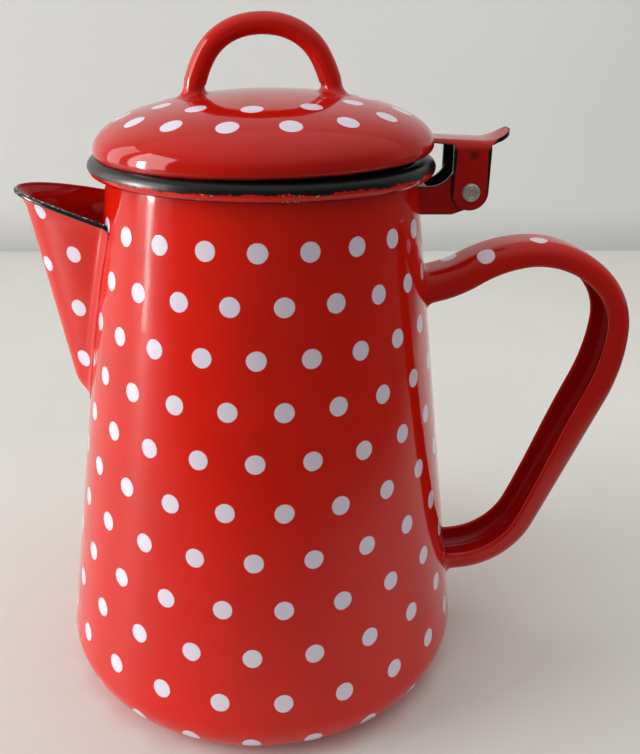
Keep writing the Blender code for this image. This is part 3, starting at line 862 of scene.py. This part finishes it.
def make_spout():
    outside = []
    inside = []
    for length in spout_lengths():
        half = spout_acrosses(length)
        acrosses = [-across for across in reversed(half[1:])] + half
        pairs = [spout_vertex(length, across) for across in acrosses]
        outside.append([pair[0] for pair in pairs])
        inside.append([pair[1] for pair in pairs])
    bm = bmesh.new()
    places = len(outside[0])
    loft(bm, outside, closed=False, materials=[0] * places)
    loft(bm, inside, closed=False, materials=[1] * places)
    bead = []
    for outer, inner in zip(outside[0], inside[0]):
        out = (outer - inner).normalized()
        centre = inner + out * WALL / 2
        circle = arc((0, 0), LIP_BEAD_RADIUS, 0, 2 * math.pi, LIP_BEAD_SIDES)[:-1]
        bead.append([centre + out * along + Vector((0, 0, up)) for along, up in circle])
    inner_sides = range(LIP_BEAD_SIDES * 5 // 16, LIP_BEAD_SIDES * 11 // 16)
    loft(bm, bead, materials=[1 if side in inner_sides else 2 for side in range(LIP_BEAD_SIDES)])
    spout = link_mesh("spout_trough", bm)
    materials = [enamel("spout_outside", RED, spout_dot_distance, lip_black),
                 enamel("spout_inside", DEEP_RED),
                 lip_material()]
    finish_piece(spout, "spout", "pot", materials)


def spout_dot_distance(graph):
    return single_dot_distance(graph, SPOUT_DOTS, mirrored=True)


def handle_path():
    """The outside of the handle's web, from inside the pot at the top to inside it below."""
    root_drop = HANDLE_CREST_RISE / (HANDLE_ROOT_RADIUS + HANDLE_SHOULDER_RADIUS)
    root_turn = math.acos(1 - root_drop)
    tighter = HANDLE_BEND_RADIUS - HANDLE_TIGHT_RADIUS
    crest_x = HANDLE_REACH - HANDLE_TIGHT_RADIUS - tighter * math.sin(HANDLE_BEND_TURN)
    crest_z = HANDLE_TOP_HEIGHT + HANDLE_CREST_RISE
    bend_drop = HANDLE_BEND_RADIUS - tighter * math.cos(HANDLE_BEND_TURN)
    root_x = crest_x - (HANDLE_ROOT_RADIUS + HANDLE_SHOULDER_RADIUS) * math.sin(root_turn)
    foot_turn = math.pi / 2 - HANDLE_LIMB_LEAN
    back_drop = HANDLE_BACK_RADIUS * math.sin(HANDLE_LIMB_LEAN)
    foot_drop = HANDLE_FOOT_RADIUS * (1 - math.cos(foot_turn))
    limb_drop = crest_z - bend_drop - back_drop - foot_drop - HANDLE_FOOT_HEIGHT
    limb = limb_drop / math.cos(HANDLE_LIMB_LEAN)
    return arc_chain((root_x, HANDLE_TOP_HEIGHT), 0, [
        (root_turn, HANDLE_ROOT_RADIUS),
        (-root_turn, HANDLE_SHOULDER_RADIUS),
        (-HANDLE_BEND_TURN, HANDLE_BEND_RADIUS),
        (HANDLE_BEND_TURN - math.pi / 2, HANDLE_TIGHT_RADIUS),
        (-HANDLE_LIMB_LEAN, HANDLE_BACK_RADIUS),
        *[(0, limb / 10)] * 10,
        (-foot_turn, HANDLE_FOOT_RADIUS),
    ])


def handle_section():
    """The channel as places (depth, across, outward depth, outward across), and inside flags."""
    half = HANDLE_WIDTH / 2
    edge = HANDLE_SHEET / 2
    corner = (HANDLE_CORNER, half - HANDLE_CORNER)
    toe = (HANDLE_DEPTH - HANDLE_TOE, half - HANDLE_TOE)
    tip = (toe[0] + edge * math.cos(math.pi / 6), toe[1] + edge * math.sin(math.pi / 6))
    outer = []
    for centre, radius, start, end in [(corner, HANDLE_CORNER, math.pi, math.pi / 2),
                                       (toe, HANDLE_TOE, math.pi / 2, math.pi / 6),
                                       (tip, edge, math.pi / 6, -5 * math.pi / 6)]:
        for depth, across in corner_arc(centre, radius, start, end):
            away = ((depth - centre[0]) / radius, (across - centre[1]) / radius)
            outer.append((depth, across, *away))
    inner = corner_arc(corner, HANDLE_CORNER - HANDLE_SHEET, math.pi / 2, math.pi)
    upper = outer + [(depth, across, 0, 0) for depth, across in inner]
    flags = [0] * (len(outer) - 1) + [1] * len(inner)
    lower = [(depth, -across, out, -side) for depth, across, out, side in reversed(upper)]
    return upper + lower, flags + [1] + flags[::-1] + [0]


def handle_ring(section, x, z, heading, spread=0):
    """One section of the channel; it is deeper near its upper root and below its bend."""
    upper = z > HANDLE_TOP_HEIGHT / 2
    near_root = max(0, 1 - (x - body_radius(z)) / HANDLE_ROOT_LENGTH) if upper else 0
    near_back = max(0, 1 - ((z - HANDLE_BACK_HEIGHT) / HANDLE_BACK_SPAN) ** 2) ** 2
    deeper = 1 + HANDLE_ROOT_DEPTH * near_root + HANDLE_BACK_DEPTH * near_back
    ring = []
    for depth, across, out, side in section:
        depth = depth * deeper + out * spread
        across += side * spread
        ring.append(Vector((x + depth * math.sin(heading), across, z - depth * math.cos(heading))))
    return ring


def handle_root(section, x, z, heading):
    """Rings from a first free one into the wall, spreading as a weld does."""
    rings = []
    slope = math.tan(heading)
    for level, spread in fillet_levels(HANDLE_FILLET):
        ring = []
        for point in handle_ring(section, x, z, heading, spread):
            reach = body_radius(point.z) + level / math.cos(TAPER_ANGLE)
            wall_x = math.sqrt(reach ** 2 - point.y ** 2)
            ring.append(Vector((wall_x, point.y, point.z + slope * (wall_x - point.x))))
        rings.append(ring)
    return rings


def make_handle():
    section, flags = handle_section()
    margin = HANDLE_FILLET + 0.0012
    free = [step for step in handle_path() if step[0] > body_radius(step[1]) + margin]
    rings = list(reversed(handle_root(section, *free[0])))
    rings += [handle_ring(section, *step) for step in free]
    rings += handle_root(section, *free[-1])
    bm = bmesh.new()
    loft(bm, rings, materials=flags)
    handle = link_mesh("handle_channel", bm)
    materials = [enamel("handle_outside", SHADED_UPPER_RED, handle_dot_distance),
                 enamel("handle_inside", DEEP_RED)]
    finish_piece(handle, "handle", "pot", materials)


def handle_dot_distance(graph):
    return single_dot_distance(graph, HANDLE_DOTS)


def bracket_outline():
    """Side view of the bracket: a neck from the pot under the rim, and the lug for the pin."""
    left = body_radius(BRACKET_BOTTOM, -OVERRUN)
    lug_left = PIN_X - BRACKET_LUG_WIDTH / 2
    lug_right = PIN_X + BRACKET_LUG_WIDTH / 2
    lug_radius = BRACKET_LUG_WIDTH / 2
    root = (lug_left - BRACKET_ROOT_RADIUS, BRACKET_NECK_TOP + BRACKET_ROOT_RADIUS)
    turn = BRACKET_LUG_TURN
    drop = PIN_HEIGHT - BRACKET_BOTTOM - lug_radius * math.cos(turn)
    low_corner = PIN_X + lug_radius * math.sin(turn) - drop / math.tan(turn)
    corner = BRACKET_LUG_CORNER
    top = BRACKET_LUG_TOP - corner
    outline = [(left, BRACKET_NECK_TOP), (left, BRACKET_BOTTOM), (low_corner, BRACKET_BOTTOM)]
    outline += corner_arc((PIN_X, PIN_HEIGHT), lug_radius, turn - math.pi / 2, 0)
    outline += corner_arc((lug_right - corner, top), corner, 0, math.pi / 2)
    outline += corner_arc((lug_left + corner, top), corner, math.pi / 2, math.pi)
    return outline + corner_arc(root, BRACKET_ROOT_RADIUS, 0, -math.pi / 2)


def make_bracket():
    bracket = side_plate("bracket_plates", bracket_outline(), BRACKET_WIDTH / 2)
    web_face = body_radius(BRACKET_BOTTOM, BRACKET_SHEET)
    far_face = PIN_X + BRACKET_LUG_WIDTH
    low = BRACKET_BOTTOM - OVERRUN
    high = BRACKET_LUG_TOP + OVERRUN
    slot_outline = [(web_face, low), (far_face, low), (far_face, high), (web_face, high)]
    slot = side_plate("bracket_slot", slot_outline, BRACKET_WIDTH / 2 - BRACKET_SHEET)
    top = RIM_TOP + OVERRUN
    profile = [(0, top), (body_radius(top, -EMBED), top), (body_radius(0, -EMBED), 0), (0, 0)]
    envelope = turned("pot_envelope", profile)
    cut(bracket, slot)
    cut(bracket, envelope)
    material = enamel("bracket_enamel", SHADED_HINGE_RED, None, bracket_black_and_shade, rounded=0.0004)
    finish_piece(bracket, "hinge_bracket", "pot", [material], [slot, envelope])


def make_pin():
    """A rivet through the strap's ears and the bracket, with a domed, dimpled head at each end."""
    inner = STRAP_WIDTH / 2
    outer = inner + PIN_HEAD_HEIGHT
    half = []
    for rise, radius in [(0, 0.0), (0.02, 0.4), (0.25, 0.8), (1, 1.0)]:
        half.append((PIN_DIMPLE_RADIUS * radius, outer - PIN_DIMPLE_DEPTH * (1 - rise)))
    brow = (PIN_HEAD_RADIUS - PIN_BROW, outer - PIN_BROW)
    half += arc(brow, PIN_BROW, math.pi / 2, 0, 8)
    half += [(PIN_HEAD_RADIUS, inner), (PIN_RADIUS, inner)]
    profile = half + [(radius, -along) for radius, along in reversed(half)]
    pin = turned("rivet", profile, 64)
    pin.location = (PIN_X, 0, PIN_HEIGHT)
    pin.rotation_euler = (math.pi / 2, 0, 0)
    finish_piece(pin, "hinge_pin", "pot", [steel_material()])


def dome_profile(gap=0):
    """The lid's outside from the top's centre to the underside of its rolled edge."""
    profile = []
    crown = LID_TOP - LID_WIDEST
    for step in range(LID_STEPS + 1):
        angle = math.pi / 2 * step / LID_STEPS
        rise = math.cos(angle) ** (2 / LID_DOME_POWER)
        profile.append(((LID_RADIUS + gap) * math.sin(angle), LID_WIDEST + (crown + gap) * rise))
    squash = (LID_EDGE_HEIGHT + gap) / LID_EDGE_TUCK
    edge = arc((LID_RADIUS + gap - LID_EDGE_TUCK, LID_WIDEST), LID_EDGE_TUCK, 0, -math.pi / 2,
               LID_EDGE_STEPS, squash)
    return profile + edge[1:]


def settle_on_rim(thing):
    """Place a piece of the lid as the lid lies on the rim."""
    pivot = Matrix.Translation((LID_SHIFT, 0, LID_SEAT))
    turn = Matrix.Rotation(-LID_PITCH, 4, "Y") @ Matrix.Rotation(LID_LEAN, 4, "X")
    thing.matrix_world = pivot @ turn @ Matrix.Translation((0, 0, -LID_SEAT))


def make_lid():
    profile = dome_profile() + [(SKIRT_RADIUS, LID_SEAT), (SKIRT_RADIUS, SKIRT_BOTTOM)]
    lid = turned("lid_shell", profile)
    thicken(lid, WALL, new_side=1)
    settle_on_rim(lid)
    # Black under the lid's rolled edge: partly its black enamel edge, partly painted shadow in the
    # gap over the rim.
    edge_black_and_shade = black_below(LID_SEAT + 0.0003, LID_SEAT + 0.0008, 0.0003)
    hem = black_below(SKIRT_BOTTOM + 0.0012, SKIRT_BOTTOM + 0.0018, 0.0004)
    outside = enamel("lid_outside", SHADED_UPPER_RED, lid_dot_distance, edge_black_and_shade)
    inside = enamel("lid_inside", INSIDE_WHITE, None, hem)
    finish_piece(lid, "lid", "lid_assembly", [outside, inside])


def black_below(low, high, waver):
    """A function for enamel() that gives 1 below a wavering height."""
    def black(graph):
        edge = graph.total(graph.z, graph.wobble(200, waver))
        return graph.inverse(graph.smooth(edge, low, high))
    return black


def dome_height(x, y):
    share = 1 - (x ** 2 + y ** 2) / LID_RADIUS ** 2
    return LID_WIDEST + (LID_TOP - LID_WIDEST) * share ** (1 / LID_DOME_POWER)


def knob_reach(height):
    """How far from the axis the bar's middle is, at a height above the loop's widest level."""
    share = min(1, max(0, height / KNOB_RISE))
    lean = KNOB_LEAN * max(0, 1 - height / KNOB_LEAN_HEIGHT) ** 2
    return KNOB_HALF_SPAN * (1 - share ** KNOB_SQUARENESS) ** (1 / KNOB_SQUARENESS) + lean


def knob_centre(angle):
    """The middle of the bar at an angle, from the right leg at 0 over the top."""
    height = KNOB_RISE * math.sin(angle) ** (2 / KNOB_SQUARENESS)
    return Vector((math.copysign(knob_reach(height), math.cos(angle)), 0, KNOB_LEVEL + height))


def knob_ring(angle):
    """A section of the loop, square to its bar."""
    step = 0.002
    along = knob_centre(angle + step) - knob_centre(angle - step)
    out = Vector((0, 1, 0)).cross(along.normalized())
    ring = []
    for side in range(KNOB_SIDES):
        turn = 2 * math.pi * side / KNOB_SIDES
        ring.append(knob_centre(angle) + out * (KNOB_THICKNESS / 2 * math.cos(turn))
                    + Vector((0, KNOB_WIDTH / 2 * math.sin(turn), 0)))
    return ring


def knob_foot(sign):
    """Rings from the leg down into the dome, spreading as a weld does."""
    rings = []
    ground = dome_height(KNOB_HALF_SPAN, 0)
    for level, spread in fillet_levels(KNOB_FILLET):
        middle = knob_reach(ground + level - KNOB_LEVEL)
        ring = []
        for side in range(KNOB_SIDES):
            turn = 2 * math.pi * side / KNOB_SIDES
            x = sign * (middle + (KNOB_THICKNESS / 2 + spread) * math.cos(turn))
            y = (KNOB_WIDTH / 2 + spread) * math.sin(turn)
            ring.append(Vector((x, y, dome_height(x, y) + level)))
        rings.append(ring)
    return rings


def make_knob():
    rise = dome_height(KNOB_HALF_SPAN, 0) + KNOB_FILLET + 0.0012 - KNOB_LEVEL
    clear = math.asin((rise / KNOB_RISE) ** (KNOB_SQUARENESS / 2))
    sweep = math.pi - 2 * clear
    rings = list(reversed(knob_foot(1)))
    rings += [knob_ring(clear + sweep * step / KNOB_STEPS) for step in range(KNOB_STEPS + 1)]
    rings += knob_foot(-1)
    bm = bmesh.new()
    loft(bm, rings)
    knob = link_mesh("knob_loop", bm)
    settle_on_rim(knob)
    material = enamel("knob_enamel", SHADED_UPPER_RED)
    finish_piece(knob, "lid_knob", "lid_assembly", [material])


def strap_section():
    """The strap seen from its end: two ears joined by a plate with rounded folds."""
    half = STRAP_WIDTH / 2
    ear_drop = STRAP_TOP - PIN_HEIGHT + EAR_WIDTH / 2 + OVERRUN
    corner = corner_arc((STRAP_CORNER, half - STRAP_CORNER), STRAP_CORNER, math.pi, math.pi / 2)
    upper = corner + [(ear_drop, half)]
    return [(depth, -across) for depth, across in reversed(upper)] + upper


def strap_outline():
    """Side view of the strap: plate, raised thumb tab and the round-ended ears."""
    plate_under = STRAP_TOP - STRAP_SHEET
    top = arc_chain((STRAP_FOLD, STRAP_TOP), 0, [(TAB_TURN, TAB_RADIUS)])
    under = arc_chain((STRAP_FOLD, plate_under), 0, [(TAB_TURN, TAB_RADIUS + STRAP_SHEET)])
    ear = corner_arc((EAR_X, PIN_HEIGHT), EAR_WIDTH / 2, -math.pi, 0) + [(EAR_END, plate_under)]
    above = [(x, z + STRAP_SHEET) for x, z, _ in top]
    plate = [(STRAP_START, STRAP_TOP + STRAP_SHEET), (STRAP_START, plate_under)]
    plate.append((EAR_START, plate_under))
    beyond = [(x, z) for x, z, _ in under if x > EAR_END]
    return plate + ear + beyond + list(reversed(above))


def tab_plan():
    """Plan view of the strap: full width up to the ears, then drawn in to a round tip."""
    half = STRAP_WIDTH / 2 + EMBED
    tip = STRAP_FOLD + (TAB_RADIUS + STRAP_SHEET / 2) * math.sin(TAB_TURN)
    tip_half = TAB_TIP_WIDTH / 2
    corner = corner_arc((tip - TAB_TIP_CORNER, tip_half - TAB_TIP_CORNER), TAB_TIP_CORNER,
                        math.pi / 2, 0)
    upper = [(STRAP_START, half), (STRAP_NARROWS, half)] + corner
    return upper + [(x, -y) for x, y in reversed(upper)]


def make_strap():
    tab = arc_chain((STRAP_FOLD, STRAP_TOP), 0, [(TAB_TURN, TAB_RADIUS), (0, OVERRUN)])
    section = flat_curve("strap_section", strap_section(), closed=False)
    profile = new_object("strap_section", section)
    curve = flat_curve("strap_path", [(STRAP_START, STRAP_TOP)] + tab, closed=False)
    curve.bevel_mode = "OBJECT"
    curve.bevel_object = profile
    strap = as_mesh("strap_plate", curve, UPRIGHT)
    thicken(strap, STRAP_SHEET)
    side = side_plate("strap_side_view", strap_outline(), STRAP_WIDTH)
    lying = Matrix.Translation((0, 0, STRAP_TOP))
    plan = side_plate("strap_plan", tab_plan(), STRAP_TOP, lying)
    inner_dome = dome_profile(-EMBED)
    envelope = turned("lid_envelope", inner_dome + [(0, inner_dome[-1][1])])
    cut(strap, side, "INTERSECT")
    cut(strap, plan, "INTERSECT")
    cut(strap, envelope)
    tools = [profile, side, plan, envelope]
    material = enamel("strap_enamel", SHADED_HINGE_RED, None, strap_black_and_shade, rounded=0.0004)
    finish_piece(strap, "lid_hinge_strap", "lid_assembly", [material], tools)
    for vertex in strap.data.vertices:
        share = max(0, (EAR_START - vertex.co.x) / (EAR_START - LID_RADIUS))
        vertex.co.z += STRAP_SAG * share ** 2


# Surroundings, light and camera

def plane(name, corners):
    mesh = bpy.data.meshes.new(name)
    mesh.from_pydata(corners, [], [(0, 1, 2, 3)])
    return new_object(name, mesh)


def table_material():
    """A pale table; beyond the picture's edge it is darker in front and at the right, as painted
    shade.
    """
    graph = new_graph("table")
    cloud = graph.smooth(graph.noise(9, 3), 0.3, 0.7)
    # Painted shade in front and at the right.
    front = graph.smooth(graph.y, -0.24, -0.06)
    beside = graph.minus(graph.x, graph.times(graph.y, 0.45))
    seen = graph.times(front, graph.inverse(graph.smooth(beside, 0.17, 0.30)))
    tone = graph.mix(seen, TABLE_SHADE, graph.mix(cloud, TABLE, TABLE_LIGHT))
    return graph.material({"Base Color": tone, "Roughness": 0.55})


def wall_material():
    """A pale wall, a little paler to the right as painted light, and darker towards its foot as
    painted shade where it meets the table.
    """
    graph = new_graph("wall")
    tone = graph.mix(graph.smooth(graph.x, -0.3, 0.3), WALL_LEFT, WALL_RIGHT)
    dim = graph.smooth(graph.z, -0.012, 0.050)
    tone = graph.mix(dim, graph.mix(WALL_FOOT_SHADE, (0, 0, 0), tone), tone)
    return graph.material({"Base Color": tone, "Roughness": 0.9})


def make_stage():
    left, right = -STAGE_REACH, STAGE_REACH
    foot = [(left, WALL_Y, 0), (right, WALL_Y, 0)]
    floor = plane("floor", [(left, -STAGE_REACH, 0), (right, -STAGE_REACH, 0), *reversed(foot)])
    back = plane("back_wall", foot + [(right, WALL_Y, 1), (left, WALL_Y, 1)])
    floor.data.materials.append(table_material())
    back.data.materials.append(wall_material())


def panel(name, place, target, width, height, radiance):
    """A flat lamp that faces a target and shines with an even radiance."""
    lamp = bpy.data.lights.new(name, "AREA")
    lamp.shape = "RECTANGLE"
    lamp.size = width
    lamp.size_y = height
    lamp.energy = radiance * math.pi * width * height
    thing = new_object(name, lamp)
    thing.location = place
    facing = Vector(target) - Vector(place)
    thing.rotation_euler = facing.to_track_quat("-Z", "Y").to_euler()
    thing.visible_camera = False
    return thing


def make_world():
    """Even light from the room; in reflections the room is darker in front and bright overhead."""
    graph = Graph(bpy.data.worlds.new("room"), "Generated")
    side = graph.smooth(graph.y, -0.4, 0.6, MIRRORED_FRONT, MIRRORED_BACK)
    mirrored = graph.smooth(graph.z, 0.2, 1.3, side, MIRRORED_TOP)
    lit = graph.smooth(graph.x, -0.8, 0.8, ROOM_LEFT, ROOM_RIGHT)
    glossy = graph.node("ShaderNodeLightPath").outputs["Is Glossy Ray"]
    level = graph.smooth(glossy, 0, 1, lit, mirrored)
    graph.feed(graph.tree.nodes["Background"].inputs["Color"], level)
    bpy.context.scene.world = graph.owner


def make_light():
    panel("window", (-0.85, -0.17, 0.42), (0, -0.17, 0.42), 0.50, 0.84, 5.6)
    pane = panel("window_pane", (-0.75, 0.30, 0.35), (0, 0, 0.15), 0.24, 0.70, 2.2)
    pane.visible_diffuse = False
    gap = panel("window_gap", (-0.84, -0.11, 0.17), (0, -0.03, 0.17), 0.10, 0.34, 60)
    gap.visible_diffuse = False
    glow = panel("table_glow", (-0.62, -0.083, 0.003), (-0.62, -0.083, 1), 0.44, 0.030, 5)
    glow.rotation_euler = (math.pi, 0, 0.095)
    glow.visible_diffuse = False
    sky = panel("sky", (0, 0.1, 1.3), (0, 0, 0), 1.4, 1.4, 0.36)
    sky.visible_glossy = False
    wash = panel("wall_wash", (0.35, 0.08, 0.40), (0.30, WALL_Y, 0.12), 0.50, 0.40, 0.9)
    wash.visible_glossy = False
    make_world()


def make_camera():
    pitch, yaw, roll = CAMERA_PITCH, CAMERA_YAW, CAMERA_ROLL
    ahead = math.cos(pitch)
    forward = Vector((math.sin(yaw) * ahead, math.cos(yaw) * ahead, -math.sin(pitch)))
    level = Vector((math.cos(yaw), -math.sin(yaw), 0))
    upright = level.cross(forward)
    right = math.cos(roll) * level + math.sin(roll) * upright
    up = -math.sin(roll) * level + math.cos(roll) * upright
    data = bpy.data.cameras.new("camera")
    width, height = IMAGE_SIZE
    data.sensor_width = SENSOR
    data.lens = FOCAL_PIXELS * SENSOR / height
    data.shift_x = (width / 2 - PRINCIPAL_PIXEL[0]) / height
    data.shift_y = (PRINCIPAL_PIXEL[1] - height / 2) / height
    camera = new_object("camera", data)
    rotation = Matrix((right, up, -forward)).transposed().to_4x4()
    camera.matrix_world = Matrix.Translation(CAMERA_PLACE) @ rotation
    bpy.context.scene.camera = camera


def main():
    scene = bpy.context.scene
    scene.view_settings.view_transform = "Standard"
    make_pot()
    make_spout()
    make_handle()
    make_bracket()
    make_pin()
    make_lid()
    make_knob()
    make_strap()
    make_stage()
    make_light()
    make_camera()


main()
